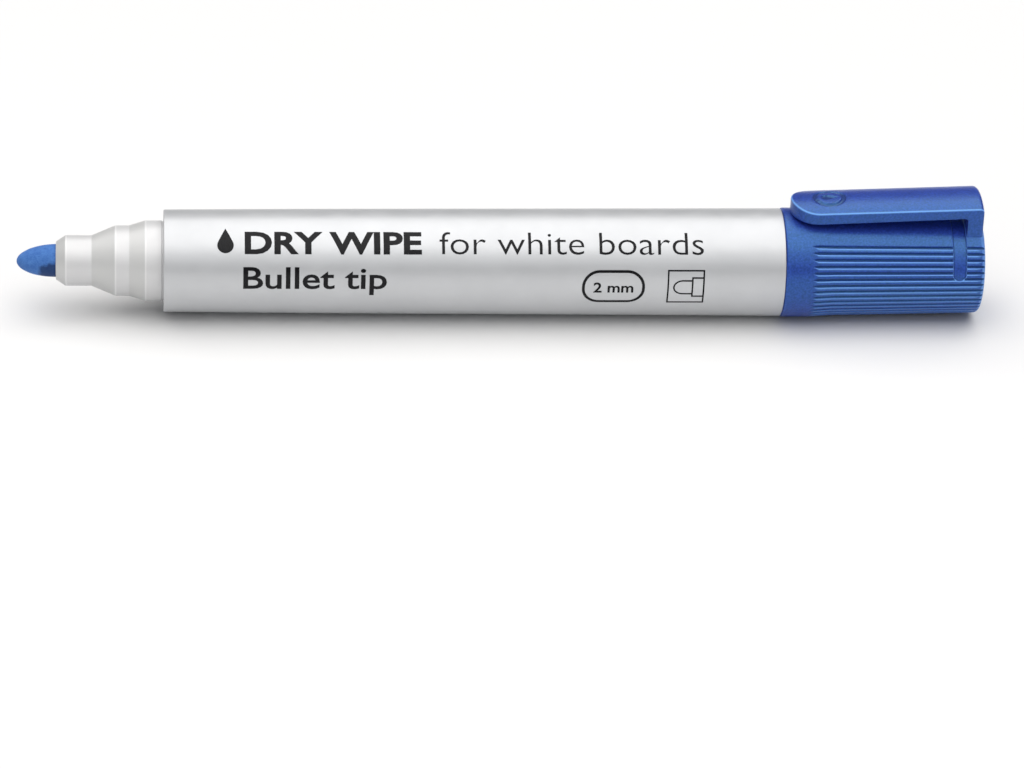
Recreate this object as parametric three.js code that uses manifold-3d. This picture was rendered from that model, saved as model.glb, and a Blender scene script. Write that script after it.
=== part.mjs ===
// Whiteboard marker with a bullet nib, open, its cap posted on the rear end.
// Millimetres. The marker lies along X with its nib towards -X and its clip up (+Z). The origin is
// on the surface that it lies on, below the middle of its length.
// "Station" is a distance along the axis from the barrel's front face, growing towards the cap.

import * as THREE from 'three';
import { mergeVertices } from 'three/addons/utils/BufferGeometryUtils.js';
import Module from 'manifold-3d';

const wasm = await Module();
wasm.setup();

// ---- driving dimensions ----

const FIT_GAP = 0.05; // radial gap between turned pieces that fit in each other
const SMALL_SIDES = 32; // facets round the nib and the reservoir
const BODY_SIDES = 48; // facets round the barrel, the nose, the plug and the liner
const CAP_SIDES = 100; // facets round the cap shell, two to each groove

const BARREL_LENGTH = 91.42;
const BARREL_FRONT_RADIUS = 7.54;
const BARREL_SWELL = { station: 20, radius: 7.69 }; // the taper is quicker ahead of this point
const BARREL_REAR_RADIUS = 8.0;
const BARREL_BORE = 6.7;
const BARREL_FRONT_WALL = 1.6;

const NIB_RADIUS = 2.44;
const NIB_TIP = -21.53;
const NIB_OGIVE = 5.9; // length of the rounded tip
const NIB_TAIL = 14.3;
const NIB_TAIL_TAPER = 1.8;

const NOSE_FRONT = -15.75;
const NOSE_FRONT_RADIUS = 2.8;
const NOSE_SMALL = { start: -14.35, end: -10.53, radius: 3.73 };
const NOSE_MIDDLE = { start: -7.07, end: -5.01, radius: 5.18 };
const NOSE_COLLAR = { start: -2.68, end: -0.25, radius: 5.92 };
const NOSE_PLUG = { end: 8, radius: 5.8, hollow: 4.6 };
const NOSE_BEAD = { start: 1.9, end: 2.8, radius: 6.1 };

const CORE = { start: 9.5, end: 82.5, radius: 6.2, socketDepth: 6 };
const FILM_THICKNESS = 0.25;

const PLUG_START = 84;
const PLUG_WALL = 1.2;
const PLUG_FLANGE = { radius: 7.3, thickness: 0.75 };
const POST = { radius: 6.02, length: 13, edge: 0.8 };

const CAP_MOUTH = 91.47;
const CAP_END = 121.22;
const CAP_BORE = 6.75;
const CAP_END_WALL = 1.2;
const CAP_COLLAR = { start: 92.1, end: 94.9, radius: 8.11 };
const CAP_SHOULDER = { station: 98.37, radius: 7.88 };
const CAP_END_RADIUS = 7.45;
const CAP_EDGE = 0.7; // rounding of the closed end

const GROOVE = { start: 95.3, runOut: 1.2, width: 0.55, depth: 0.25, pitch: 7.2, first: 46.8 };
const BAND = { start: 116.35, end: 118.3, depth: 0.3, reach: 85.5 }; // reach in degrees from the clip

const LINER = { start: 92, end: 119.9, bore: 6.1, endWall: 0.8 };

const CLIP_WIDTH = 8.2;
const CLIP_TIP = 92.5;
const CLIP_BLOCK_START = 118.5;
const CLIP_END = 120.85; // a little short of the closed end
const CLIP_SPLIT = 0.2; // gap between the sprung arm and the block that it grows from
const CLIP_CREST = { tipRadius: 10.6, endRadius: 11.7 }; // crowned outside, round about the axis
const CLIP_UNDERSIDE = { tipHeight: 8.4, rootHeight: 9.2 }; // heights above the axis

const LOWEST_RADIUS = CAP_COLLAR.radius; // the cap's collar is the widest round part
const MIDDLE_STATION = (NIB_TIP + CAP_END) / 2;

// ---- geometry helpers ----

/** Turns an outline of [station, radius] points about the axis. */
function turned(outline, sides) {
  const points = outline.map(([station, radius]) => new THREE.Vector2(radius, station));
  return new THREE.LatheGeometry(points, sides).rotateZ(-Math.PI / 2);
}

/** Points of a quarter round, from the side of a cylinder over to its end face. */
function roundedEdge(endStation, radius, edge, steps = 4) {
  const points = [];
  for (let step = 0; step <= steps; step += 1) {
    const turn = (step / steps) * (Math.PI / 2);
    const station = endStation - edge + edge * Math.sin(turn);
    points.push([station, radius - edge + edge * Math.cos(turn)]);
  }
  return points;
}

/** A closed geometry as a solid for cutting and joining. */
function solid(geometry) {
  const bare = geometry.clone();
  bare.deleteAttribute('normal');
  bare.deleteAttribute('uv');
  const { index, attributes } = mergeVertices(bare, 1e-5);
  const corners = [];
  for (let i = 0; i < index.count; i += 3) {
    const [a, b, c] = [index.getX(i), index.getX(i + 1), index.getX(i + 2)];
    if (a !== b && b !== c && c !== a) {
      corners.push(a, b, c);
    }
  }
  const vertProperties = Float32Array.from(attributes.position.array);
  const triVerts = Uint32Array.from(corners);
  return new wasm.Manifold(new wasm.Mesh({ numProp: 3, vertProperties, triVerts }));
}

/** A solid as a geometry. */
function surface(body) {
  const { vertProperties, triVerts } = body.getMesh();
  const geometry = new THREE.BufferGeometry();
  geometry.setAttribute('position', new THREE.BufferAttribute(Float32Array.from(vertProperties), 3));
  geometry.setIndex(new THREE.BufferAttribute(Uint32Array.from(triVerts), 1));
  geometry.computeVertexNormals();
  return geometry;
}

/** A side view, [station, height] points, made `width` thick across the middle plane. */
function sideExtrusion(outline, width) {
  const shape = new THREE.Shape(outline.map(([station, height]) => new THREE.Vector2(station, height)));
  const geometry = new THREE.ExtrudeGeometry(shape, { depth: width, bevelEnabled: false });
  return geometry.translate(0, 0, -width / 2).rotateX(Math.PI / 2);
}

function piece(name, geometry, color, roughness) {
  const material = new THREE.MeshStandardMaterial({ color, roughness, metalness: 0 });
  const mesh = new THREE.Mesh(geometry, material);
  mesh.name = name;
  return mesh;
}

// ---- marker body ----

function nibGeometry() {
  const outline = [];
  const steps = 8;
  for (let step = 0; step <= steps; step += 1) {
    const turn = (step / steps) * (Math.PI / 2);
    outline.push([NIB_TIP + NIB_OGIVE * (1 - Math.cos(turn)), NIB_RADIUS * Math.sin(turn)]);
  }
  outline.push([NIB_TAIL - NIB_TAIL_TAPER, NIB_RADIUS]);
  outline.push([NIB_TAIL, NIB_RADIUS / 2]);
  outline.push([NIB_TAIL, 0]);
  return turned(outline, SMALL_SIDES);
}

/** Nib holder: a stepped nose, a collar and a plug with a snap bead that holds it in the barrel. */
function frontSectionGeometry() {
  const bore = NIB_RADIUS + FIT_GAP;
  const plugHollowStart = -3;
  const boreEnd = -6;
  const outline = [
    [NOSE_FRONT, bore],
    [NOSE_FRONT, NOSE_FRONT_RADIUS],
    [NOSE_SMALL.start, NOSE_SMALL.radius],
    [NOSE_SMALL.end, NOSE_SMALL.radius],
    [NOSE_MIDDLE.start, NOSE_MIDDLE.radius],
    [NOSE_MIDDLE.end, NOSE_MIDDLE.radius],
    [NOSE_COLLAR.start, NOSE_COLLAR.radius],
    [NOSE_COLLAR.end, NOSE_COLLAR.radius],
    [NOSE_COLLAR.end, NOSE_PLUG.radius],
    [NOSE_BEAD.start, NOSE_PLUG.radius],
    [(NOSE_BEAD.start + NOSE_BEAD.end) / 2, NOSE_BEAD.radius],
    [NOSE_BEAD.end, NOSE_PLUG.radius],
    [NOSE_PLUG.end, NOSE_PLUG.radius],
    [NOSE_PLUG.end, NOSE_PLUG.hollow],
    [plugHollowStart, NOSE_PLUG.hollow],
    [boreEnd, bore],
    [NOSE_FRONT, bore],
  ];
  return turned(outline, BODY_SIDES);
}

/** Tapered tube with a front wall for the nose's plug and a counterbore for the end plug's flange. */
function barrelGeometry() {
  const frontEdge = 0.15;
  const rearEdge = 0.4;
  const counterbore = PLUG_FLANGE.radius + FIT_GAP;
  const seat = BARREL_LENGTH - PLUG_FLANGE.thickness - FIT_GAP;
  const outline = [
    [0, NOSE_PLUG.radius + FIT_GAP],
    [0, BARREL_FRONT_RADIUS - frontEdge],
    [frontEdge, BARREL_FRONT_RADIUS],
    [BARREL_SWELL.station, BARREL_SWELL.radius],
    ...roundedEdge(BARREL_LENGTH, BARREL_REAR_RADIUS, rearEdge, 3),
    [BARREL_LENGTH, counterbore],
    [seat, counterbore],
    [seat, BARREL_BORE],
    [BARREL_FRONT_WALL, BARREL_BORE],
    [BARREL_FRONT_WALL, NOSE_PLUG.radius + FIT_GAP],
    [0, NOSE_PLUG.radius + FIT_GAP],
  ];
  return turned(outline, BODY_SIDES);
}

/** Fibre rod with a blind socket for the nib's tail. */
function reservoirCoreGeometry() {
  const socket = NIB_RADIUS + 2 * FIT_GAP;
  const socketEnd = CORE.start + CORE.socketDepth;
  const outline = [
    [socketEnd, 0],
    [socketEnd, socket],
    [CORE.start, socket],
    [CORE.start, CORE.radius],
    [CORE.end, CORE.radius],
    [CORE.end, 0],
  ];
  return turned(outline, SMALL_SIDES);
}

function reservoirFilmGeometry() {
  const inside = CORE.radius + FIT_GAP;
  const outside = inside + FILM_THICKNESS;
  const outline = [
    [CORE.start, inside],
    [CORE.start, outside],
    [CORE.end, outside],
    [CORE.end, inside],
    [CORE.start, inside],
  ];
  return turned(outline, SMALL_SIDES);
}

/** Hollow plug: an insert in the bore, a flange on the barrel's end and the post for the cap. */
function endPlugGeometry() {
  const insert = BARREL_BORE - FIT_GAP;
  const hollow = POST.radius - PLUG_WALL;
  const postEnd = BARREL_LENGTH + POST.length;
  const flangeStart = BARREL_LENGTH - PLUG_FLANGE.thickness;
  const outline = [
    [postEnd - PLUG_WALL, 0],
    [postEnd - PLUG_WALL, hollow],
    [PLUG_START, hollow],
    [PLUG_START, insert],
    [flangeStart, insert],
    [flangeStart, PLUG_FLANGE.radius],
    [BARREL_LENGTH, PLUG_FLANGE.radius],
    [BARREL_LENGTH, POST.radius],
    ...roundedEdge(postEnd, POST.radius, POST.edge, 3),
    [postEnd, 0],
  ];
  return turned(outline, BODY_SIDES);
}

// ---- cap ----

/** Radius of the cap's outside between its shoulder and its closed end. */
function gripRadius(station) {
  const share = (station - CAP_SHOULDER.station) / (CAP_END - CAP_SHOULDER.station);
  return CAP_SHOULDER.radius + share * (CAP_END_RADIUS - CAP_SHOULDER.radius);
}

function cupGeometry() {
  const mouthEdge = 0.55;
  const inside = CAP_END - CAP_END_WALL;
  const outline = [
    [inside, 0],
    [inside, CAP_BORE],
    [CAP_MOUTH, CAP_BORE],
    [CAP_MOUTH, CAP_COLLAR.radius - mouthEdge],
    [(CAP_MOUTH + CAP_COLLAR.start) / 2, CAP_COLLAR.radius - mouthEdge / 4],
    [CAP_COLLAR.start, CAP_COLLAR.radius],
    [CAP_COLLAR.end, CAP_COLLAR.radius],
    [CAP_SHOULDER.station, CAP_SHOULDER.radius],
    ...roundedEdge(CAP_END, CAP_END_RADIUS, CAP_EDGE, 3),
    [CAP_END, 0],
  ];
  return turned(outline, CAP_SIDES);
}

/** One groove's cutter at the top of the cap: it ramps in, then follows the cap's taper. */
function grooveCutter() {
  const clear = 1;
  const floorStart = GROOVE.start + GROOVE.runOut;
  const past = CAP_END + clear;
  const outline = [
    [GROOVE.start, CAP_COLLAR.radius],
    [floorStart, gripRadius(floorStart) - GROOVE.depth],
    [past, gripRadius(past) - GROOVE.depth],
    [past, CAP_COLLAR.radius + clear],
    [GROOVE.start, CAP_COLLAR.radius + clear],
  ];
  return sideExtrusion(outline, GROOVE.width);
}

/** All groove cutters: an even pitch all round, left out on both sides of the clip. */
function grooveCutters() {
  const cutters = [];
  for (let angle = GROOVE.first; angle <= 360 - GROOVE.first + 1e-6; angle += GROOVE.pitch) {
    cutters.push(solid(grooveCutter().rotateX(THREE.MathUtils.degToRad(angle))));
  }
  return wasm.Manifold.union(cutters);
}

/** Cutter for the shallow band that crosses under the clip and ends in a half circle on each side. */
function bandCutter() {
  const outer = CAP_COLLAR.radius;
  const middle = (BAND.start + BAND.end) / 2;
  const halfWidth = (BAND.end - BAND.start) / 2;
  const floor = gripRadius(middle) - BAND.depth;
  const ring = solid(turned([
    [BAND.start, floor],
    [BAND.start, outer],
    [BAND.end, outer],
    [BAND.end, floor],
    [BAND.start, floor],
  ], CAP_SIDES));
  const endAngle = THREE.MathUtils.degToRad(BAND.reach) - halfWidth / gripRadius(middle);
  const box = new THREE.BoxGeometry(4 * halfWidth, 4 * outer, 2 * outer);
  let reach = solid(box.translate(middle, 0, outer + floor * Math.cos(endAngle)));
  for (const side of [-1, 1]) {
    const roundEnd = new THREE.CylinderGeometry(halfWidth, halfWidth, outer, 24);
    roundEnd.translate(0, outer, 0).rotateX(Math.PI / 2).rotateX(-side * endAngle).translate(middle, 0, 0);
    reach = reach.add(solid(roundEnd));
  }
  return ring.intersect(reach);
}

/** Everything under the clip's crowned outside, from `start` to the clip's end. */
function clipEnvelope(start) {
  const slope = (CLIP_CREST.endRadius - CLIP_CREST.tipRadius) / (CLIP_END - CLIP_TIP);
  const startRadius = CLIP_CREST.tipRadius + slope * (start - CLIP_TIP);
  const outline = [
    [start, 0],
    [start, startRadius],
    ...roundedEdge(CLIP_END, CLIP_CREST.endRadius, CAP_EDGE, 3),
    [CLIP_END, 0],
  ];
  return solid(turned(outline, CAP_SIDES));
}

/** The block at the closed end that the clip's arm grows from. */
function clipBlock() {
  const foot = CAP_BORE + 0.3;
  const top = CLIP_CREST.endRadius + 1;
  const outline = [[CLIP_BLOCK_START, foot], [CLIP_END, foot], [CLIP_END, top], [CLIP_BLOCK_START, top]];
  return solid(sideExtrusion(outline, CLIP_WIDTH)).intersect(clipEnvelope(CLIP_BLOCK_START));
}

function capShellGeometry() {
  const cup = solid(cupGeometry()).subtract(grooveCutters()).subtract(bandCutter());
  return surface(cup.add(clipBlock()));
}

/** The clip's arm: parallel sides, a full-round tip, a flat underside and a crowned outside. */
function pocketClipGeometry() {
  const root = CLIP_BLOCK_START - CLIP_SPLIT;
  const tipCentre = CLIP_TIP + CLIP_WIDTH / 2;
  const plan = new THREE.Shape();
  plan.moveTo(root, -CLIP_WIDTH / 2);
  plan.lineTo(root, CLIP_WIDTH / 2);
  plan.lineTo(tipCentre, CLIP_WIDTH / 2);
  plan.absarc(tipCentre, 0, CLIP_WIDTH / 2, Math.PI / 2, (3 * Math.PI) / 2);
  const settings = { depth: CLIP_CREST.endRadius, bevelEnabled: false, curveSegments: 16 };
  const bar = solid(new THREE.ExtrudeGeometry(plan, settings));
  const above = CLIP_CREST.endRadius + 1;
  const side = solid(sideExtrusion([
    [CLIP_TIP - 1, CLIP_UNDERSIDE.tipHeight],
    [root + 1, CLIP_UNDERSIDE.rootHeight],
    [root + 1, above],
    [CLIP_TIP - 1, above],
  ], 2 * CLIP_WIDTH));
  return surface(bar.intersect(side).intersect(clipEnvelope(CLIP_TIP - 1)));
}

/** Seal inside the cap: a thin cup that grips the nose's collar or the rear post. */
function capLinerGeometry() {
  const outside = CAP_BORE - FIT_GAP;
  const mouthEdge = 0.4;
  const outline = [
    [LINER.end - LINER.endWall, 0],
    [LINER.end - LINER.endWall, LINER.bore],
    [LINER.start + mouthEdge, LINER.bore],
    [LINER.start, LINER.bore + mouthEdge / 2],
    [LINER.start, outside],
    [LINER.end, outside],
    [LINER.end, 0],
  ];
  return turned(outline, BODY_SIDES);
}

// ---- assembly ----

const BARREL_COLOR = '#e9ebec';
const NOSE_COLOR = '#e4e4df';
const NIB_COLOR = '#3f66a8';
const CAP_COLOR = '#2f5fb4';
const LINER_COLOR = '#e8e9e6';
const CORE_COLOR = '#27478f';
const FILM_COLOR = '#dfe4ea';

const markerBody = new THREE.Group();
markerBody.add(piece('barrel', barrelGeometry(), BARREL_COLOR, 0.35));
markerBody.add(piece('front_section', frontSectionGeometry(), NOSE_COLOR, 0.4));
markerBody.add(piece('nib', nibGeometry(), NIB_COLOR, 0.9));
markerBody.add(piece('reservoir_core', reservoirCoreGeometry(), CORE_COLOR, 0.95));
markerBody.add(piece('reservoir_film', reservoirFilmGeometry(), FILM_COLOR, 0.3));
markerBody.add(piece('end_plug', endPlugGeometry(), CAP_COLOR, 0.5));

const cap = new THREE.Group();
cap.add(piece('cap_shell', capShellGeometry(), CAP_COLOR, 0.5));
cap.add(piece('cap_liner', capLinerGeometry(), LINER_COLOR, 0.5));
cap.add(piece('pocket_clip', pocketClipGeometry(), CAP_COLOR, 0.5));

const marker = new THREE.Group();
marker.add(markerBody, cap);
marker.position.set(-MIDDLE_STATION, 0, LOWEST_RADIUS);

export default marker;
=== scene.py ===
"""Looks of the whiteboard marker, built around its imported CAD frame.

Lengths are in millimetres in the named values and become metres in `place`. A station is a distance along
the marker's axis from the barrel's front face, growing towards the cap. An angle round the axis is in
degrees from the clip's middle plane, growing towards the camera's side (-Y).
"""

import math

import bmesh
import bpy
from mathutils import Matrix, Vector, noise


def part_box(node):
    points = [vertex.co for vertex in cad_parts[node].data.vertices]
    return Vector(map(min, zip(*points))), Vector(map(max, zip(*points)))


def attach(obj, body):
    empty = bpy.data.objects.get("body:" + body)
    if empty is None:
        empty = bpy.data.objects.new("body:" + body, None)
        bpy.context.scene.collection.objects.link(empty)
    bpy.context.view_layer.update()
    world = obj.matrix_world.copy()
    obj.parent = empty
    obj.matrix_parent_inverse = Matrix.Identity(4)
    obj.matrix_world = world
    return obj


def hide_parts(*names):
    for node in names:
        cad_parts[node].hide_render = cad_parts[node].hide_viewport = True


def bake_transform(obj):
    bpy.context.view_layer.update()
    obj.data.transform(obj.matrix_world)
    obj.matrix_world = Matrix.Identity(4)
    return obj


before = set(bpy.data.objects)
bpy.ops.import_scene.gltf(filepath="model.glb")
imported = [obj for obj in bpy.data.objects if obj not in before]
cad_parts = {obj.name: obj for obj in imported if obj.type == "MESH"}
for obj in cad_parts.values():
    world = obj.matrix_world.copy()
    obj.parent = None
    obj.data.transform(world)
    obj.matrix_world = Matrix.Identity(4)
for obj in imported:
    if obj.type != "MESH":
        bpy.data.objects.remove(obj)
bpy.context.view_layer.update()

MM = 0.001
BARREL_LOW, BARREL_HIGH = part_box("barrel")
CAP_LOW, CAP_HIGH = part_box("cap_shell")
NIB_LOW, NIB_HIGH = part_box("nib")
PLUG_LOW, PLUG_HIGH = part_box("end_plug")
LINER_LOW, LINER_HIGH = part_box("cap_liner")
CORE_LOW, CORE_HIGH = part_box("reservoir_core")
FILM_LOW, FILM_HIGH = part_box("reservoir_film")
CLIP_LOW, CLIP_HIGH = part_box("pocket_clip")
AXIS_HEIGHT = (BARREL_LOW.z + BARREL_HIGH.z) / 2


def station_of(x):
    """Station of a place along X in the row frame."""
    return (x - BARREL_LOW.x) / MM


def place(station, y, height):
    """Row-frame point of a station, a Y and a height above the axis."""
    return Vector((BARREL_LOW.x + station * MM, y * MM, AXIS_HEIGHT + height * MM))


def around(station, radius, degrees):
    """Row-frame point at a radius and an angle round the axis."""
    turn = math.radians(degrees)
    return place(station, -radius * math.sin(turn), radius * math.cos(turn))


def smoothstep(low, high, value):
    """Eased share of the way from low to high, held at 0 and 1."""
    share = min(1.0, max(0.0, (value - low) / (high - low)))
    return share * share * (3 - 2 * share)


def steps(start, end, count):
    """count + 1 even steps from start to end."""
    return [start + (end - start) * i / count for i in range(count + 1)]


# ---- dimensions ----

BARREL_END = station_of(BARREL_HIGH.x)
BARREL_REAR_RADIUS = (BARREL_HIGH.z - BARREL_LOW.z) / 2 / MM
BARREL_FRONT_RADIUS = 7.54
BARREL_SWELL = (20, 7.69)
BARREL_BORE = 6.7
PLUG_HOLE = 5.85

NIB_TIP = station_of(NIB_LOW.x)
NIB_TAIL = station_of(NIB_HIGH.x)
NIB_RADIUS = (NIB_HIGH.z - NIB_LOW.z) / 2 / MM
NIB_OGIVE = 5.9
NIB_DROOP = 0.1
NOSE_FRONT = -15.75

CAP_MOUTH = station_of(CAP_LOW.x)
CAP_END = station_of(CAP_HIGH.x)
CAP_COLLAR_RADIUS = (AXIS_HEIGHT - CAP_LOW.z) / MM
CAP_SHOULDER = (98.37, 7.88)
CAP_END_RADIUS = 7.45
CAP_BORE = 6.75
CAP_END_WALL = 1.2
CAP_EDGE = 0.7

GROOVE_START = 95.3
GROOVE_RUN_OUT = 0.9
GROOVE_WIDTH = 0.56
GROOVE_DEPTH = 0.27
GROOVE_PITCH = 7.2
GROOVE_FIRST = 46.8
BAND_START = 116.35
BAND_END = 118.42
BAND_DEPTH = 0.3
BAND_REACH = 85.5

CLIP_TIP = station_of(CLIP_LOW.x)
CLIP_HALF_WIDTH = (CLIP_HIGH.y - CLIP_LOW.y) / 2 / MM
CLIP_BLOCK = 118.5
CLIP_CREST_TIP = 10.6
CLIP_CREST_END = (CAP_HIGH.z - AXIS_HEIGHT) / MM - 0.05
CLIP_CROWN = 9.5
CLIP_END = CAP_END - 0.37
CLIP_UNDER_TIP = 8.0
CLIP_UNDER_ROOT = 9.2
CLIP_UNDER_ARCH = 0.4
CLIP_TOP_EDGE = 0.34
CLIP_LOW_EDGE = 0.15
MARK_DEPTH = 0.24
# painted shade in the sunk mark
MARK_PAINTED_SHADE = -0.6
DROP_POINT = 2.3

VIEW_ELEVATION = 27.0


# ---- mesh helpers ----

def finish_mesh(name, bm, sharp_degrees=32.0):
    """Welds, closes and smooths a bmesh, keeps its crisp edges, and links it as an object."""
    bmesh.ops.remove_doubles(bm, verts=bm.verts, dist=1e-7)
    bmesh.ops.dissolve_degenerate(bm, edges=bm.edges, dist=1e-7)
    bmesh.ops.recalc_face_normals(bm, faces=bm.faces)
    for face in bm.faces:
        face.smooth = True
    limit = math.radians(sharp_degrees)
    for edge in bm.edges:
        if len(edge.link_faces) == 2 and edge.calc_face_angle(0) > limit:
            edge.smooth = False
    mesh = bpy.data.meshes.new(name)
    bm.to_mesh(mesh)
    bm.free()
    piece = bpy.data.objects.new(name, mesh)
    bpy.context.scene.collection.objects.link(piece)
    return piece


def grid(bm, rows, tones):
    """Quads between rows of points, where each row closes on itself.

    A tone is 1 where an edge gets a full painted highlight, -1 where a hollow gets full painted shade, and 0
    elsewhere.
    """
    layer = bm.verts.layers.float.new("tone")
    made = [[bm.verts.new(point) for point in row] for row in rows]
    for row, row_tones in zip(made, tones):
        for vertex, tone in zip(row, row_tones):
            vertex[layer] = tone
    for low, high in zip(made, made[1:]):
        for i in range(len(low)):
            j = (i + 1) % len(low)
            bm.faces.new((low[i], low[j], high[j], high[i]))
    return made


def rounded(corners, arc_steps=5):
    """An outline of (station, radius, rounding) corners with each rounding drawn as an arc."""
    points = []
    for i, (x, y, rounding) in enumerate(corners):
        here = Vector((x, y))
        if rounding == 0 or i in (0, len(corners) - 1):
            points.append((x, y))
            continue
        before = (Vector(corners[i - 1][:2]) - here).normalized()
        after = (Vector(corners[i + 1][:2]) - here).normalized()
        half = before.angle(after) / 2
        reach = rounding / math.tan(half)
        centre = here + (before + after).normalized() * (rounding / math.sin(half))
        start = here + before * reach - centre
        turn = start.angle_signed(here + after * reach - centre)
        for step in steps(0, -turn, arc_steps):
            spun = centre + Matrix.Rotation(step, 2) @ start
            points.append((spun.x, spun.y))
    return points


def divided(outline, longest):
    """The same outline with no stretch longer than `longest`."""
    points = [outline[0]]
    for (s1, r1), (s2, r2) in zip(outline, outline[1:]):
        count = max(1, math.ceil(math.hypot(s2 - s1, r2 - r1) / longest))
        points += [(s1 + (s2 - s1) * i / count, r1 + (r2 - r1) * i / count) for i in range(1, count + 1)]
    return points


def turned(name, outline, sides=160, tone=lambda station: 0):
    """A smooth turned piece from (station, radius) points that start and end on the axis or meet."""
    bm = bmesh.new()
    angles = [360 * i / sides for i in range(sides)]
    rows = [[around(s, r, a) for a in angles] for s, r in outline]
    grid(bm, rows, [[tone(s)] * sides for s, _ in outline])
    return finish_mesh(name, bm)


# ---- turned pieces ----

def barrel_piece():
    """Tapered tube with a front wall, a bore and a counterbore for the end plug's flange."""
    counterbore = 7.35
    seat = BARREL_END - 0.8
    front_wall = 1.6
    return turned("barrel_shell", rounded([
        (0, PLUG_HOLE, 0),
        (0, BARREL_FRONT_RADIUS, 0.14),
        (*BARREL_SWELL, 0),
        (BARREL_END, BARREL_REAR_RADIUS, 0.12),
        (BARREL_END, counterbore, 0.05),
        (seat, counterbore, 0),
        (seat, BARREL_BORE, 0),
        (front_wall, BARREL_BORE, 0),
        (front_wall, PLUG_HOLE, 0),
        (0, PLUG_HOLE, 0),
    ]), sides=192)


def nose_tone(station):
    """The nose's front edges get a painted highlight; its cones are painted darker than its cylinders, as
    painted shade.
    """
    cones = (-15.7, -14.4), (-10.5, -7.15), (-5.0, -2.75)
    edges = -14.25, -7.0, -2.6
    cone_painted_shade, soft, edge_width = -0.5, 0.1, 0.14
    tone = 0.0
    for start, end in cones:
        past_end = smoothstep(end - soft, end + soft, station)
        tone += cone_painted_shade * smoothstep(start - soft, start + soft, station) * (1 - past_end)
    for edge in edges:
        tone += max(0.0, 1 - abs(station - edge) / edge_width)
    return min(1.0, tone)


def nose_piece():
    """Stepped cylinders joined by cones, and behind them a hollow plug with a snap bead."""
    bore = NIB_RADIUS + 0.05
    plug, plug_bore = 5.8, 4.6
    collar_end, plug_end = -0.25, 8
    outline = rounded([
        (-12, bore, 0),
        (NOSE_FRONT, bore, 0.04),
        (NOSE_FRONT, 2.80, 0.06),
        (-14.35, 3.73, 0.4),
        (-10.53, 3.72, 0.1),
        (-7.07, 5.18, 0.5),
        (-5.01, 5.19, 0.1),
        (-2.68, 5.92, 0.5),
        (collar_end, 5.93, 0.08),
        (collar_end, plug, 0.02),
        (1.9, plug, 0),
        (2.35, 6.1, 0.1),
        (2.8, plug, 0),
        (plug_end, plug, 0.3),
        (plug_end, plug_bore, 0.1),
        (-3, plug_bore, 0.3),
        (-6, bore, 0),
        (-12, bore, 0),
    ])
    hidden = next(i for i, (station, _) in enumerate(outline) if station > collar_end - 0.001)
    outline = divided(outline[:hidden], 0.08) + outline[hidden:]
    return turned("nose", outline, tone=nose_tone)


def nib_piece():
    """Bonded fibre rod: a half-ellipse tip, a tapered tail and a slightly uneven surface."""
    tail_taper, tail_radius, tail_edge = 1.8, NIB_RADIUS / 2, 0.1
    unevenness, lump_along, lump_across = 0.018, 0.9, 2.6
    outline = []
    for turn in steps(0, math.pi / 2, 26):
        outline.append((NIB_TIP + NIB_OGIVE * (1 - math.cos(turn)), NIB_RADIUS * math.sin(turn)))
    rod_start = NIB_TIP + NIB_OGIVE
    rod_end = NIB_TAIL - tail_taper
    outline += [(s, NIB_RADIUS) for s in steps(rod_start, rod_end, 60)[1:]]
    outline += [(NIB_TAIL - tail_edge, tail_radius + tail_edge), (NIB_TAIL, tail_radius), (NIB_TAIL, 0)]
    piece = turned("fibre_nib", outline, sides=128)
    for vertex in piece.data.vertices:
        x, y, z = vertex.co / MM
        swell = noise.noise(Vector((x * lump_along, y * lump_across, z * lump_across)))
        outward = Vector((0, vertex.co.y, vertex.co.z - AXIS_HEIGHT))
        if outward.length > 0.1 * MM:
            vertex.co -= outward.normalized() * unevenness * MM * (swell + 1)
        bare = max(0.0, 1 - (station_of(vertex.co.x) - NIB_TIP) / NIB_OGIVE)
        vertex.co.z -= NIB_DROOP * MM * bare
    return piece


def plug_piece():
    """Hollow insert with a flange that closes the barrel, and the post that the cap sits on."""
    insert, post, wall = 6.65, 6.02, 1.2
    flange = (PLUG_HIGH.z - PLUG_LOW.z) / 2 / MM
    flange_start = BARREL_END - 0.75
    hollow = post - wall
    start = station_of(PLUG_LOW.x)
    end = station_of(PLUG_HIGH.x)
    return turned("tail_plug", rounded([
        (end - wall, 0, 0),
        (end - wall, hollow, 0.4),
        (start, hollow, 0.1),
        (start, insert, 0.3),
        (flange_start, insert, 0.05),
        (flange_start, flange, 0.08),
        (BARREL_END, flange, 0.12),
        (BARREL_END, post, 0.15),
        (end, post, 0.8),
        (end, 0, 0),
    ]), sides=128)


def liner_piece():
    """Thin cup inside the cap."""
    outside = (LINER_HIGH.z - LINER_LOW.z) / 2 / MM
    start = station_of(LINER_LOW.x)
    end = station_of(LINER_HIGH.x)
    bore, end_wall = 6.1, 0.8
    return turned("inner_seal", rounded([
        (end - end_wall, 0, 0),
        (end - end_wall, bore, 0.5),
        (start, bore, 0.25),
        (start, outside, 0.12),
        (end, outside, 0.3),
        (end, 0, 0),
    ]), sides=128)


def core_piece():
    """Rod of fibre with a socket for the nib's tail."""
    radius = (CORE_HIGH.z - CORE_LOW.z) / 2 / MM
    start = station_of(CORE_LOW.x)
    end = station_of(CORE_HIGH.x)
    socket = NIB_RADIUS + 0.1
    socket_end = start + 6
    return turned("ink_reservoir", rounded([
        (socket_end, 0, 0),
        (socket_end, socket, 0.3),
        (start, socket, 0.2),
        (start, radius, 0.3),
        (end, radius, 0.3),
        (end, 0, 0),
    ]), sides=96)


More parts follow.
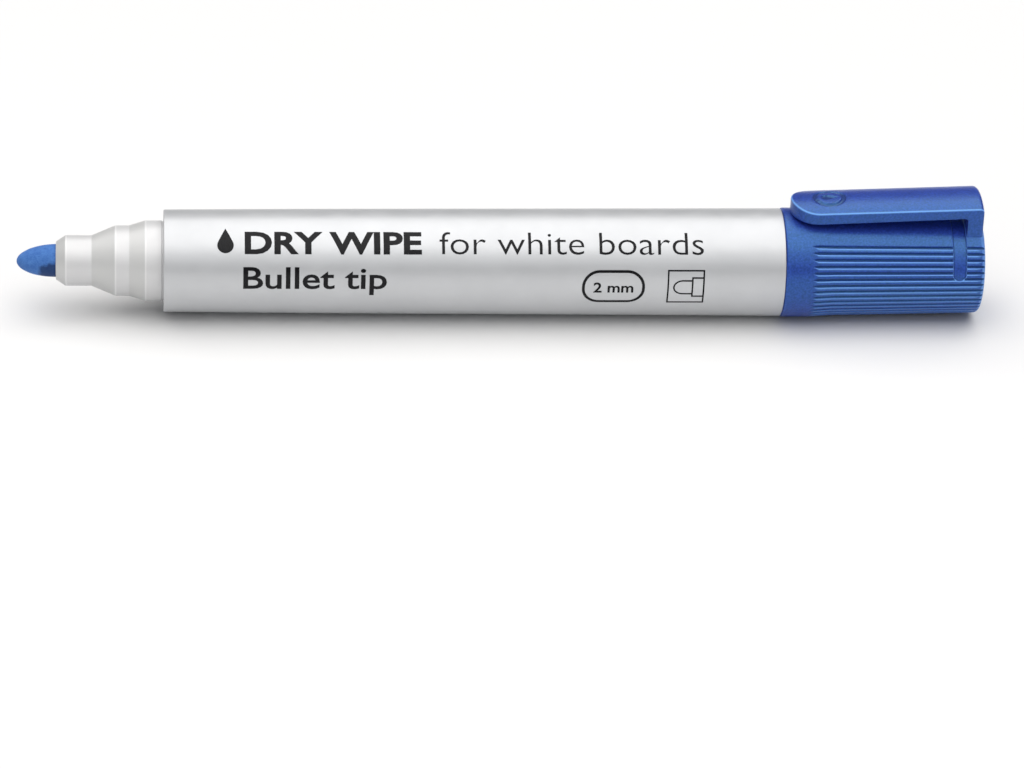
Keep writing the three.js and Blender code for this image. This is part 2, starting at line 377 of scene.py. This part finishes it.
def film_piece():
    """Thin open tube round the reservoir."""
    thickness = 0.25
    outside = (FILM_HIGH.z - FILM_LOW.z) / 2 / MM
    inside = outside - thickness
    start = station_of(FILM_LOW.x)
    end = station_of(FILM_HIGH.x)
    middle = (start + end) / 2
    return turned("reservoir_wrap", rounded([
        (middle, inside, 0),
        (start, inside, 0.05),
        (start, outside, 0.05),
        (end, outside, 0.05),
        (end, inside, 0.05),
        (middle, inside, 0),
    ]), sides=96)


# ---- cap ----

def grip_radius(station):
    """Radius of the cap's lands from the shoulder to the closed end."""
    share = (station - CAP_SHOULDER[0]) / (CAP_END - CAP_SHOULDER[0])
    return CAP_SHOULDER[1] + share * (CAP_END_RADIUS - CAP_SHOULDER[1])


def cap_outline():
    """Outside of the cap as (station, radius), from the mouth's edge to the flat of the closed end."""
    mouth_length, mouth_drop = 0.35, 0.25
    collar_row, collar_end, shoulder_end = 93, 94.6, 98.9
    band_margin = 0.2
    points = []
    for turn in steps(0, math.pi / 2, 6):
        station = CAP_MOUTH + mouth_length * (1 - math.cos(turn))
        points.append((station, CAP_COLLAR_RADIUS - mouth_drop * (1 - math.sin(turn))))
    points += [(s, CAP_COLLAR_RADIUS) for s in (collar_row, collar_end)]
    drop = CAP_COLLAR_RADIUS - grip_radius(shoulder_end)
    for station in steps(collar_end, shoulder_end, 22)[1:]:
        share = (station - collar_end) / (shoulder_end - collar_end)
        eased = share * share * (2 - share)
        points.append((station, CAP_COLLAR_RADIUS - drop * eased))
    stations = steps(shoulder_end, BAND_START - band_margin, 8)[1:]
    stations += steps(BAND_START - band_margin, BAND_END + band_margin, 44)[1:]
    stations += steps(BAND_END + band_margin, CAP_END - CAP_EDGE, 3)[1:-1]
    points += [(s, grip_radius(s)) for s in stations]
    for turn in steps(0, math.pi / 2, 10):
        station = CAP_END - CAP_EDGE * (1 - math.sin(turn))
        points.append((station, CAP_END_RADIUS - CAP_EDGE * (1 - math.cos(turn))))
    return points


def groove_angles():
    """Angles of the grooves' middles, from one side of the clip round to the other."""
    count = round((360 - 2 * GROOVE_FIRST) / GROOVE_PITCH) + 1
    return [GROOVE_FIRST + GROOVE_PITCH * i for i in range(count)]


def groove_shape(station, off_middle, from_clip):
    """Depth and tone of a groove, which starts in a point.

    off_middle is positive on the lip away from the clip. That lip gets a painted highlight, strongest near
    the clip, and the groove's floor is painted darker as painted shade.
    """
    # strengths of the painted highlight on the lips and of the painted shade in the groove's floor
    near_highlight, far_highlight, inner_highlight = 1.1, 0.55, 0.05
    near, far = 80, 130
    floor_share, lip_width, shade_strength = 0.12, 0.45, 0.65
    opening = (station - GROOVE_START) / GROOVE_RUN_OUT
    if opening <= 0:
        return 0.0, 0.0
    open_share = min(1.0, opening)
    half = GROOVE_WIDTH / 2 * open_share
    off = abs(off_middle) / half
    floor = GROOVE_DEPTH * smoothstep(0, 0.8, open_share)
    # painted shade in the groove's floor
    painted_shade = 1 - smoothstep(0.3, 0.7, off)
    highlight_strength = inner_highlight
    if off_middle > 0:
        highlight_strength = near_highlight + (far_highlight - near_highlight) * smoothstep(near, far, from_clip)
    # painted highlight on the lip
    painted_highlight = min(1.0, highlight_strength * max(0.0, 1 - abs(off - 1) / lip_width))
    return floor * (1 - smoothstep(floor_share, 1, off)), open_share * (painted_highlight - shade_strength * painted_shade)


def band_shape(station, degrees):
    """Depth and tone of the smooth band that crosses under the clip and ends in half circles; the tone is a
    painted highlight on its lip and painted shade just inside it.
    """
    lip_width, hollow_width, hollow_inset, shade_strength = 0.12, 0.1, 0.14, 0.7
    middle = (BAND_START + BAND_END) / 2
    half = (BAND_END - BAND_START) / 2
    arc = math.radians(min(degrees, 360 - degrees)) * grip_radius(middle)
    past = max(0.0, arc - (math.radians(BAND_REACH) * grip_radius(middle) - half))
    inside = half - math.hypot(station - middle, past)
    # painted highlight on the band's lip
    painted_highlight = max(0.0, 1 - abs(inside + 0.02) / lip_width)
    # painted shade just inside the band's lip
    painted_shade = max(0.0, 1 - abs(inside - hollow_inset) / hollow_width)
    return BAND_DEPTH * smoothstep(-0.03, 0.12, inside), painted_highlight - shade_strength * painted_shade


def cap_angles():
    """Angles round the cap: close together on the groove walls and at the band's ends."""
    half = math.degrees(GROOVE_WIDTH / 2 / CAP_END_RADIUS)
    spread = 1.3 * half
    plain_reach = GROOVE_FIRST - 3
    closest = 0.12
    wanted = [a % 360 for a in steps(-plain_reach, plain_reach, 52)]
    for middle in groove_angles():
        wanted += [middle + a for a in steps(-spread, spread, 18)]
    for side in (1, -1):
        wanted += [(side * a) % 360 for a in steps(BAND_REACH - 10, BAND_REACH + 1, 24)]
    kept = []
    for angle in sorted(wanted):
        if not kept or angle - kept[-1] > closest:
            kept.append(angle)
    return kept


def shell_piece():
    """The cap's outer shell: smooth collar, grooves with pointed starts, band, rounded end, bore."""
    angles = cap_angles()
    middles = groove_angles()
    inside_end = CAP_END - CAP_END_WALL
    bottom_chamfer, mouth_chamfer = 0.3, 0.25
    end_highlight = 0.6
    rows = [[around(s, r, a) for a in angles] for s, r in (
        (inside_end, 0),
        (inside_end, CAP_BORE - bottom_chamfer),
        (inside_end - bottom_chamfer, CAP_BORE),
        (CAP_MOUTH + mouth_chamfer, CAP_BORE),
        (CAP_MOUTH, CAP_BORE + mouth_chamfer),
    )]
    plain = [0.0] * len(angles)
    tones = [plain] * len(rows)
    for station, radius in cap_outline():
        row = []
        row_tones = []
        # painted highlight on the closed end's rounded edge
        on_edge = end_highlight * smoothstep(CAP_END - CAP_EDGE, CAP_END - 0.5 * CAP_EDGE, station)
        for angle in angles:
            from_clip = min(angle, 360 - angle)
            nearest = min(middles, key=lambda middle: abs(middle - from_clip))
            off_middle = math.radians(from_clip - nearest) * CAP_END_RADIUS
            groove, groove_tone = groove_shape(station, off_middle, from_clip)
            band, band_tone = band_shape(station, angle)
            land = radius if station < CAP_SHOULDER[0] else grip_radius(station)
            cut = land - max(groove, band)
            row.append(around(station, min(radius, cut), angle))
            tone = band_tone if band > 0 else groove_tone
            if cut > radius:
                tone = 0.0
            row_tones.append(max(on_edge, tone) if tone >= 0 else tone)
        rows.append(row)
        tones.append(row_tones)
    flat_radius = CAP_END_RADIUS - CAP_EDGE - 0.2
    for radius in (flat_radius, 0):
        rows.append([around(CAP_END, radius, a) for a in angles])
        tones.append(plain)
    bm = bmesh.new()
    grid(bm, rows, tones)
    return finish_mesh("cap_body", bm, sharp_degrees=60.0)


def drop_distance(across, up, radius):
    """Distance outside an ink drop whose straight sides meet in a point upwards.

    across and up are measured from the middle of its round part.
    """
    point = DROP_POINT * radius
    reach = math.sqrt(point**2 - radius**2)
    side = (abs(across) * reach + (up - point) * radius) / point
    touch = radius**2 / point
    if up <= touch:
        return math.hypot(across, up) - radius
    return max(side, up - point)


def mark_relief(station, y):
    """Depth of the plain ring and ink drop sunk in the clip's outside, near its tip."""
    middle, ring, line, drop, soft = 98.2, 2.15, 0.3, 0.72, 0.08
    off = math.hypot(station - middle, y)
    in_ring = 1 - smoothstep(line - soft, line + soft, abs(off - ring))
    in_drop = 1 - smoothstep(-soft, soft, drop_distance(y, station - middle + 0.65 * drop, drop))
    return MARK_DEPTH * max(in_ring, in_drop)


def clip_crest(station):
    """Radius about the axis of the clip's crowned outside."""
    share = (station - CLIP_TIP) / (CLIP_END - CLIP_TIP)
    return CLIP_CREST_TIP + share * (CLIP_CREST_END - CLIP_CREST_TIP)


def clip_underside(station):
    """Height above the axis of the lower edges of the arm's sides."""
    share = (station - CLIP_TIP) / (CLIP_BLOCK - CLIP_TIP)
    return CLIP_UNDER_TIP + share * (CLIP_UNDER_ROOT - CLIP_UNDER_TIP)


def clip_sections():
    """Cross-sections from the tip to the closed end, as dicts of what sets each one's outline."""
    root_fillet, side_edge = 0.4, 0.25
    tip_middle = CLIP_TIP + CLIP_HALF_WIDTH
    past_mark = 101.2
    sections = []

    def add(station, half_width=CLIP_HALF_WIDTH, lean=0.0, low=None, foot=False, drop=0.0):
        height = clip_underside(station) if low is None else low
        sections.append(dict(station=station, half=half_width, lean=lean, low=height, foot=foot, drop=drop))

    for turn in steps(0, math.pi / 2, 28):
        station = tip_middle - CLIP_HALF_WIDTH * math.cos(turn)
        add(station, CLIP_HALF_WIDTH * math.sin(turn), turn - math.pi / 2)
    for station in steps(tip_middle, past_mark, 36)[1:] + steps(past_mark, CLIP_BLOCK - root_fillet, 18)[1:]:
        add(station)
    corner = clip_underside(CLIP_BLOCK - root_fillet)
    for turn in steps(0, math.pi / 2, 6)[1:]:
        station = CLIP_BLOCK - root_fillet * (1 - math.sin(turn))
        add(station, low=corner - root_fillet * (1 - math.cos(turn)))
    block_low = corner - root_fillet
    for station in steps(CLIP_BLOCK, CLIP_END - CAP_EDGE, 4):
        add(station, low=block_low, foot=True)
    for turn in steps(0, math.pi / 2, 8)[1:]:
        station = CLIP_END - CAP_EDGE * (1 - math.sin(turn))
        rounding = 1 - math.cos(turn)
        half_width = CLIP_HALF_WIDTH - side_edge * rounding
        add(station, half_width, low=block_low, foot=True, drop=CAP_EDGE * rounding)
    return sections


def half_section(section):
    """One half of a cross-section, from the crest's middle round to the underside's middle.

    Each point is (station, y, height above the axis, tone).
    """
    foot_radius = 7.0
    station, half = section["station"], section["half"]
    along, across = math.sin(section["lean"]), math.cos(section["lean"])
    crest = clip_crest(station) - section["drop"]

    def top(y):
        return crest - CLIP_CROWN + math.sqrt(CLIP_CROWN**2 - y**2)

    def under(y):
        return section["low"] + CLIP_UNDER_ARCH * (1 - (y / CLIP_HALF_WIDTH)**2)

    points = []
    inner = max(0.0, half - CLIP_TOP_EDGE * across)
    inner_station = station - CLIP_TOP_EDGE * along
    for y in steps(0, inner, 30):
        sunk = mark_relief(inner_station, y)
        # the sunk mark is painted darker, as painted shade in its recess
        points.append((inner_station, y, top(y) - sunk, MARK_PAINTED_SHADE * sunk / MARK_DEPTH))
    edge_height = top(inner)
    for turn in steps(0, math.pi / 2, 6)[1:]:
        inset = CLIP_TOP_EDGE * (1 - math.sin(turn))
        height = edge_height - CLIP_TOP_EDGE * (1 - math.cos(turn))
        # the rounded top edge gets a painted highlight
        points.append((station - along * inset, half - across * inset, height, math.sin(2 * turn)**3))
    low = under(half)
    edge = 0.0 if section["foot"] else CLIP_LOW_EDGE
    for height in steps(edge_height - CLIP_TOP_EDGE, low + edge, 7)[1:]:
        points.append((station, half, height, 0))
    for turn in steps(0, math.pi / 2, 4)[1:]:
        inset = edge * (1 - math.cos(turn))
        height = low + edge * (1 - math.sin(turn))
        points.append((station - along * inset, half - across * inset, height, 0))
    foot_half = max(0.0, half - edge * across)
    for y in steps(foot_half, 0, 8):
        height = math.sqrt(foot_radius**2 - y**2) if section["foot"] else under(y)
        points.append((station - along * edge, y, height, 0))
    return points


def clip_piece():
    """The clip in one mesh: crowned arm with a full-round tip, root fillet and block."""
    rows = []
    tones = []
    for section in clip_sections():
        half = half_section(section)
        outline = half + [(s, -y, h, tone) for s, y, h, tone in reversed(half[1:-1])]
        rows.append([place(s, y, h) for s, y, h, _ in outline])
        tones.append([tone for *_, tone in outline])
    bm = bmesh.new()
    made = grid(bm, rows, tones)
    bm.faces.new(made[-1])
    return finish_mesh("clip_arm", bm, sharp_degrees=40.0)


# ---- print ----

def sheet_point(across, along, lift):
    """Point on the barrel's printed side: `along` mm of arc above the line that faces the camera."""
    if across < BARREL_SWELL[0]:
        radius = BARREL_FRONT_RADIUS + across / BARREL_SWELL[0] * (BARREL_SWELL[1] - BARREL_FRONT_RADIUS)
    else:
        share = (across - BARREL_SWELL[0]) / (BARREL_END - BARREL_SWELL[0])
        radius = BARREL_SWELL[1] + share * (BARREL_REAR_RADIUS - BARREL_SWELL[1])
    degrees = 90 - VIEW_ELEVATION - math.degrees(along / radius)
    return around(across, radius + lift, degrees)


def wrapped(name, flat):
    """Cuts a flat mesh of (station, arc) faces finely, and wraps it on the barrel as a thin closed skin."""
    lift, depth, cut = 0.018, 0.03, 0.35
    heights = [v.co.y for v in flat.verts]
    low = math.floor(min(heights) / cut)
    for i in range(low, math.ceil(max(heights) / cut)):
        geometry = flat.verts[:] + flat.edges[:] + flat.faces[:]
        bmesh.ops.bisect_plane(flat, geom=geometry, plane_co=(0, i * cut, 0), plane_no=(0, 1, 0))
    bmesh.ops.remove_doubles(flat, verts=flat.verts, dist=1e-4)
    skin = bmesh.ops.extrude_face_region(flat, geom=flat.faces[:])
    raised = {element for element in skin["geom"] if isinstance(element, bmesh.types.BMVert)}
    for vertex in flat.verts:
        height = lift if vertex in raised else lift - depth
        vertex.co = sheet_point(vertex.co.x, vertex.co.y, height)
    return finish_mesh(name, flat)


def flat_text(words, cap_height, start, baseline, width, weight):
    """Lettering as a flat bmesh, scaled to a cap height and a width."""
    curve = bpy.data.curves.new("lettering", "FONT")
    curve.body = words
    curve.size = 1.0
    curve.offset = weight
    curve.resolution_u = 4
    holder = bpy.data.objects.new("lettering", curve)
    bpy.context.scene.collection.objects.link(holder)
    bpy.context.view_layer.update()
    mesh = bpy.data.meshes.new_from_object(holder.evaluated_get(bpy.context.evaluated_depsgraph_get()))
    flat = bmesh.new()
    flat.from_mesh(mesh)
    bpy.data.objects.remove(holder)
    bpy.data.curves.remove(curve)
    bpy.data.meshes.remove(mesh)
    left = min(v.co.x for v in flat.verts)
    right = max(v.co.x for v in flat.verts)
    font_capital = 0.73
    for vertex in flat.verts:
        vertex.co.x = start + (vertex.co.x - left) / (right - left) * width
        vertex.co.y = baseline + vertex.co.y / font_capital * cap_height
        vertex.co.z = 0
    return flat


def flat_polygon(outer, inner=None):
    """A filled outline, or the band between two outlines with the same number of points."""
    flat = bmesh.new()
    ring = [flat.verts.new((x, y, 0)) for x, y in outer]
    if inner is None:
        flat.faces.new(ring)
        return flat
    hole = [flat.verts.new((x, y, 0)) for x, y in inner]
    for i in range(len(ring)):
        j = (i + 1) % len(ring)
        flat.faces.new((ring[i], ring[j], hole[j], hole[i]))
    return flat


def round_box(left, low, right, high, corner):
    """Corners of a box drawn as arcs, as a closed list of points."""
    points = []
    for x, y, first in ((right, high, 0), (left, high, 90), (left, low, 180), (right, low, 270)):
        centre_x = x - math.copysign(corner, x - (left + right) / 2)
        centre_y = y - math.copysign(corner, y - (low + high) / 2)
        for degrees in steps(first, first + 90, 10):
            turn = math.radians(degrees)
            points.append((centre_x + corner * math.cos(turn), centre_y + corner * math.sin(turn)))
    return points


def frame_band(left, low, right, high, corner, line):
    """A box drawn as a line of even width, inside its corners."""
    outer = round_box(left, low, right, high, corner)
    inner = round_box(left + line, low + line, right - line, high - line, max(0.01, corner - line))
    return flat_polygon(outer, inner)


def drop_outline(middle, low, radius):
    """An ink drop with its point up, as a closed list of points."""
    point = DROP_POINT * radius
    start = math.asin(radius / point)
    centre = low + radius
    points = [(middle, centre + point)]
    for turn in steps(start, -math.pi - start, 30):
        points.append((middle + radius * math.cos(turn), centre + radius * math.sin(turn)))
    return points


def bullet_outline(left, right, middle, half):
    """A round-nosed tip that points towards the nib."""
    nose = left + 1.25 * half
    points = [(right, middle - half), (right, middle + half)]
    for turn in steps(math.pi / 2, 1.5 * math.pi, 20):
        points.append((nose + (nose - left) * math.cos(turn), middle + half * math.sin(turn)))
    return points


def print_pieces():
    """Generic wording and plain signs in the places of the print on the barrel.

    Boxes are given as left, low, right and high, in stations and in mm of arc above the line that faces
    the camera.
    """
    line = 0.24
    tip, tip_end, tip_middle, tip_half = 74.75, 77.6, -3.95, 1.2
    outer = bullet_outline(tip, tip_end, tip_middle, tip_half)
    inner = bullet_outline(tip + line, tip_end, tip_middle, tip_half - line)
    return [
        wrapped("print_drop", flat_polygon(drop_outline(9.0, 1.1, 1.2))),
        wrapped("print_word", flat_text("DRY WIPE", 3.45, 11.8, 1.12, 25.9, 0.032)),
        wrapped("print_line", flat_text("for white boards", 3.75, 40.3, 1.0, 38.9, -0.008)),
        wrapped("print_kind", flat_text("Bullet tip", 3.5, 11.6, -4.25, 21.0, 0.012)),
        wrapped("print_pill", frame_band(61.3, -6.75, 70.6, -1.25, 2.6, 0.42)),
        wrapped("print_width", flat_text("2 mm", 1.7, 63.0, -4.8, 5.9, 0.02)),
        wrapped("print_box", frame_band(73.9, -6.8, 79.4, -1.2, 0.05, line)),
        wrapped("print_bullet", flat_polygon(outer, inner)),
        wrapped("print_collar", frame_band(77.5, -5.6, 79.4, -2.3, 0.05, line)),
    ]


# ---- materials ----

NOISE_SPAN = (0.3, 0.7)  # nearly all of a noise lies between these


def material(name, roughness, specular=0.5):
    """A new material, with its node tree and its shader."""
    made = bpy.data.materials.new(name)
    made.use_nodes = True
    shader = made.node_tree.nodes["Principled BSDF"]
    shader.inputs["Roughness"].default_value = roughness
    shader.inputs["Specular IOR Level"].default_value = specular
    return made, made.node_tree, shader


def noise_node(tree, size_mm, detail=2.0, stretch=(1, 1, 1)):
    """Noise in object space whose grains are about size_mm across."""
    where = tree.nodes.new("ShaderNodeTexCoord")
    mapping = tree.nodes.new("ShaderNodeMapping")
    mapping.inputs["Scale"].default_value = stretch
    made = tree.nodes.new("ShaderNodeTexNoise")
    made.inputs["Scale"].default_value = 1 / (size_mm * MM)
    made.inputs["Detail"].default_value = detail
    tree.links.new(where.outputs["Object"], mapping.inputs["Vector"])
    tree.links.new(mapping.outputs["Vector"], made.inputs["Vector"])
    return made.outputs["Fac"]


def math_node(tree, operation, *values):
    """A math node fed by sockets and plain numbers, in order."""
    made = tree.nodes.new("ShaderNodeMath")
    made.operation = operation
    for slot, value in zip(made.inputs, values):
        if isinstance(value, (int, float)):
            slot.default_value = value
        else:
            tree.links.new(value, slot)
    return made.outputs[0]


def mapped(tree, value, start, end, low=0.0, high=1.0, ease="LINEAR"):
    """Maps a value from start..end to low..high, held at both ends."""
    made = tree.nodes.new("ShaderNodeMapRange")
    made.interpolation_type = ease
    made.inputs["From Min"].default_value = start
    made.inputs["From Max"].default_value = end
    made.inputs["To Min"].default_value = low
    made.inputs["To Max"].default_value = high
    tree.links.new(value, made.inputs["Value"])
    return made.outputs["Result"]


def mixed(tree, share, colour, target):
    """Mixes a fixed colour into another by a share."""
    made = tree.nodes.new("ShaderNodeMix")
    made.data_type = "RGBA"
    tree.links.new(share, made.inputs["Factor"])
    tree.links.new(colour, made.inputs["A"])
    made.inputs["B"].default_value = (*target, 1)
    return made.outputs["Result"]


def two_tone(tree, factor, dark, light):
    """Mixes two colours by a noise."""
    made = tree.nodes.new("ShaderNodeValToRGB")
    for element, position, colour in zip(made.color_ramp.elements, NOISE_SPAN, (dark, light)):
        element.position = position
        element.color = (*colour, 1)
    tree.links.new(factor, made.inputs["Fac"])
    return made.outputs["Color"]


def toned(tree, colour, pale, deep):
    """Mixes a paler colour into the edges as a painted highlight and a deeper one into the hollows as
    painted shade, by the mesh's tone.
    """
    tone = tree.nodes.new("ShaderNodeAttribute")
    tone.attribute_name = "tone"
    for target, extreme in ((pale, 1), (deep, -1)):
        colour = mixed(tree, mapped(tree, tone.outputs["Fac"], 0, extreme), colour, target)
    return colour


def bump(tree, shader, factor, height_mm):
    """Raises the surface by up to height_mm where the factor is high."""
    made = tree.nodes.new("ShaderNodeBump")
    made.inputs["Distance"].default_value = height_mm * MM
    tree.links.new(factor, made.inputs["Height"])
    tree.links.new(made.outputs["Normal"], shader.inputs["Normal"])


def moulded(name, dark, light, roughness, grain_mm, grain_height, specular=0.5, mottle_mm=1.2, ends=None):
    """Moulded plastic: faint mottling, uneven gloss, a fine surface grain and, where colours are given,
    painted highlights on edges and painted shade in hollows.
    """
    uneven = 0.04
    made, tree, shader = material(name, roughness, specular)
    colour = two_tone(tree, noise_node(tree, mottle_mm, 4), dark, light)
    if ends:
        colour = toned(tree, colour, *ends)
    tree.links.new(colour, shader.inputs["Base Color"])
    gloss = mapped(tree, noise_node(tree, 2.5, 3), *NOISE_SPAN, roughness - uneven, roughness + uneven)
    tree.links.new(gloss, shader.inputs["Roughness"])
    bump(tree, shader, noise_node(tree, grain_mm), grain_height)
    return made, shader


def cap_material():
    dark, light = (0.0125, 0.028, 0.20), (0.027, 0.060, 0.41)
    # a paler blue for painted highlights on edges and a deeper one for painted shade in hollows
    ends = (0.17, 0.37, 0.85), (0.004, 0.009, 0.065)
    made, shader = moulded("cap_plastic", dark, light, roughness=0.33, grain_mm=0.25, grain_height=0.02,
                           specular=1.0, mottle_mm=0.3, ends=ends)
    shader.inputs["Specular Tint"].default_value = (0.3, 0.8, 1, 1)
    return made


def barrel_material():
    dark, light = (0.57, 0.58, 0.595), (0.60, 0.61, 0.625)
    made, shader = moulded("barrel_plastic", dark, light, roughness=0.40, grain_mm=0.9, grain_height=0.0012,
                           mottle_mm=6)
    shader.inputs["Metallic"].default_value = 0.45
    return made


def nose_material():
    dark, light = (0.655, 0.655, 0.66), (0.685, 0.685, 0.69)
    # a paler grey for painted highlights on the front edges and a darker one for painted shade on the cones
    ends = (0.80, 0.80, 0.80), (0.52, 0.525, 0.51)
    made, shader = moulded("nose_plastic", dark, light, roughness=0.42, grain_mm=0.7, grain_height=0.001,
                           mottle_mm=4, ends=ends)
    shader.inputs["Metallic"].default_value = 0.2
    return made


def with_painted_nib_shade(tree, colour, blotches):
    """Paints shade into a colour low down on the nib, next to the nose."""
    unshaded_distance, shaded_distance = 3.2 * MM, 0.6 * MM
    unshaded_height, shaded_height = AXIS_HEIGHT + 1.1 * MM, AXIS_HEIGHT - 0.3 * MM
    where = tree.nodes.new("ShaderNodeTexCoord")
    parts = tree.nodes.new("ShaderNodeSeparateXYZ")
    tree.links.new(where.outputs["Object"], parts.inputs[0])
    from_nose = math_node(tree, "SUBTRACT", parts.outputs["X"], place(NOSE_FRONT, 0, 0).x)
    near = mapped(tree, math_node(tree, "ABSOLUTE", from_nose), unshaded_distance, shaded_distance)
    low = mapped(tree, parts.outputs["Z"], unshaded_height, shaded_height)
    ragged = math_node(tree, "MULTIPLY_ADD", math_node(tree, "MULTIPLY", near, low), 1.6, blotches)
    share = mapped(tree, ragged, 0.75, 1.25, high=0.8, ease="SMOOTHSTEP")
    return mixed(tree, share, colour, (0.006, 0.020, 0.085))


def nib_material():
    """Bonded fibre full of ink: fine strands along the rod, darker between them, and painted shade low down
    next to the nose.
    """
    made, tree, shader = material("nib_fibre", 0.85, 0.25)
    strands = noise_node(tree, 0.16, 4, stretch=(0.5, 1, 1))
    blotches = noise_node(tree, 0.8, 3)
    joined = math_node(tree, "MULTIPLY_ADD", strands, 0.5, math_node(tree, "MULTIPLY", blotches, 0.5))
    colour = two_tone(tree, joined, (0.032, 0.114, 0.395), (0.086, 0.230, 0.565))
    tree.links.new(with_painted_nib_shade(tree, colour, blotches), shader.inputs["Base Color"])
    shader.inputs["Sheen Weight"].default_value = 0.1
    shader.inputs["Sheen Roughness"].default_value = 0.5
    bump(tree, shader, strands, 0.03)
    return made


def reservoir_material():
    made, tree, shader = material("reservoir_fibre", 0.95, 0.2)
    strands = noise_node(tree, 0.3, 4, stretch=(0.05, 1, 1))
    colour = two_tone(tree, strands, (0.015, 0.03, 0.16), (0.05, 0.10, 0.40))
    tree.links.new(colour, shader.inputs["Base Color"])
    bump(tree, shader, strands, 0.05)
    return made


def film_material():
    dark, light = (0.70, 0.75, 0.82), (0.74, 0.79, 0.86)
    made, shader = moulded("reservoir_film", dark, light, roughness=0.2, grain_mm=3, grain_height=0.01)
    shader.inputs["Transmission Weight"].default_value = 0.5
    return made


def liner_material():
    dark, light = (0.72, 0.73, 0.70), (0.77, 0.78, 0.75)
    return moulded("liner_plastic", dark, light, roughness=0.35, grain_mm=0.6, grain_height=0.002)[0]


def ink_material():
    """Screen-printed ink with a faint mottling and a fine grain."""
    made, tree, shader = material("print_ink", 0.25, 0.16)
    colour = two_tone(tree, noise_node(tree, 0.25, 3), (0.004, 0.004, 0.005), (0.010, 0.010, 0.012))
    tree.links.new(colour, shader.inputs["Base Color"])
    bump(tree, shader, noise_node(tree, 0.2), 0.002)
    return made


# ---- stage ----

def floor_piece():
    bm = bmesh.new()
    bmesh.ops.create_grid(bm, x_segments=1, y_segments=1, size=3.0)
    floor = finish_mesh("floor", bm)
    made, tree, shader = material("floor_paint", 0.9, 0.1)
    colour = two_tone(tree, noise_node(tree, 400), (0.79, 0.79, 0.79), (0.81, 0.81, 0.81))
    tree.links.new(colour, shader.inputs["Base Color"])
    floor.data.materials.append(made)


def area_light(name, location, target, size_x, size_y, power, colour=(1, 1, 1)):
    data = bpy.data.lights.new(name, "AREA")
    data.shape = "RECTANGLE"
    data.size = size_x
    data.size_y = size_y
    data.energy = power
    data.color = colour
    light = bpy.data.objects.new(name, data)
    light.location = location
    light.rotation_mode = "QUATERNION"
    light.rotation_quaternion = (Vector(target) - Vector(location)).to_track_quat("-Z", "Y")
    bpy.context.scene.collection.objects.link(light)


def studio():
    """A pale floor under a large soft light from above, with a weaker one from the front."""
    floor_piece()
    middle = (0, 0, AXIS_HEIGHT)
    area_light("top_softbox", (0, 0.04, 1.1), middle, 2.0, 2.1, 27, (1, 0.985, 0.97))
    area_light("front_panel", (0, -1.1, 0.75), middle, 2.4, 0.6, 4.0)
    world = bpy.data.worlds.new("studio")
    world.use_nodes = True
    background = world.node_tree.nodes["Background"]
    background.inputs["Color"].default_value = (0.93, 0.96, 1, 1)
    background.inputs["Strength"].default_value = 0.15
    bpy.context.scene.world = world
    bpy.context.scene.view_settings.view_transform = "Standard"


def camera():
    """The view from the nib's end, 27 degrees above the floor, on the print's side."""
    distance, aim_station = 0.7, -4
    yaw, pitch, roll = 4.5385, 1.4825, 0.13
    up_angle = math.radians(VIEW_ELEVATION)
    foot = place(aim_station, 0, 0)
    away = Vector((0, -math.cos(up_angle), math.sin(up_angle)))
    data = bpy.data.cameras.new("camera")
    data.lens = 166.54
    data.sensor_width = 36
    data.clip_start = 0.05
    data.clip_end = 20
    view = bpy.data.objects.new("camera", data)
    facing = (-away).to_track_quat("-Z", "Y").to_matrix()
    turn = Matrix.Rotation(math.radians(-yaw), 3, "Y")
    tilt = Matrix.Rotation(math.radians(-pitch), 3, "X")
    spin = Matrix.Rotation(math.radians(roll), 3, "Z")
    view.matrix_world = Matrix.Translation(foot + away * distance) @ (facing @ turn @ tilt @ spin).to_4x4()
    bpy.context.scene.collection.objects.link(view)
    bpy.context.scene.camera = view


# ---- assembly ----

def fit(piece, made, body, slot, *nodes):
    """Gives a piece its material and its body, and hides the CAD nodes that it stands for; slot is not used.
    """
    piece.data.materials.append(made)
    if body:
        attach(piece, body)
    if nodes:
        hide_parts(*nodes)
    return piece


cap_plastic = cap_material()
fit(barrel_piece(), barrel_material(), "marker_body", "barrel_plastic", "barrel")
fit(nose_piece(), nose_material(), "marker_body", "nose_plastic", "front_section")
fit(nib_piece(), nib_material(), "nib", "nib_fibre", "nib")
fit(core_piece(), reservoir_material(), "marker_body", "reservoir_fibre", "reservoir_core")
fit(film_piece(), film_material(), "marker_body", "reservoir_film", "reservoir_film")
fit(plug_piece(), cap_plastic, "marker_body", "cap_plastic", "end_plug")
fit(liner_piece(), liner_material(), "cap_inner", "liner_plastic", "cap_liner")
fit(shell_piece(), cap_plastic, "cap_outer", "cap_plastic", "cap_shell")
clip = fit(clip_piece(), cap_plastic, None, "cap_plastic", "pocket_clip")
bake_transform(clip)
ink = ink_material()
for lettering in print_pieces():
    fit(lettering, ink, "marker_body", "barrel_plastic")

studio()
camera()
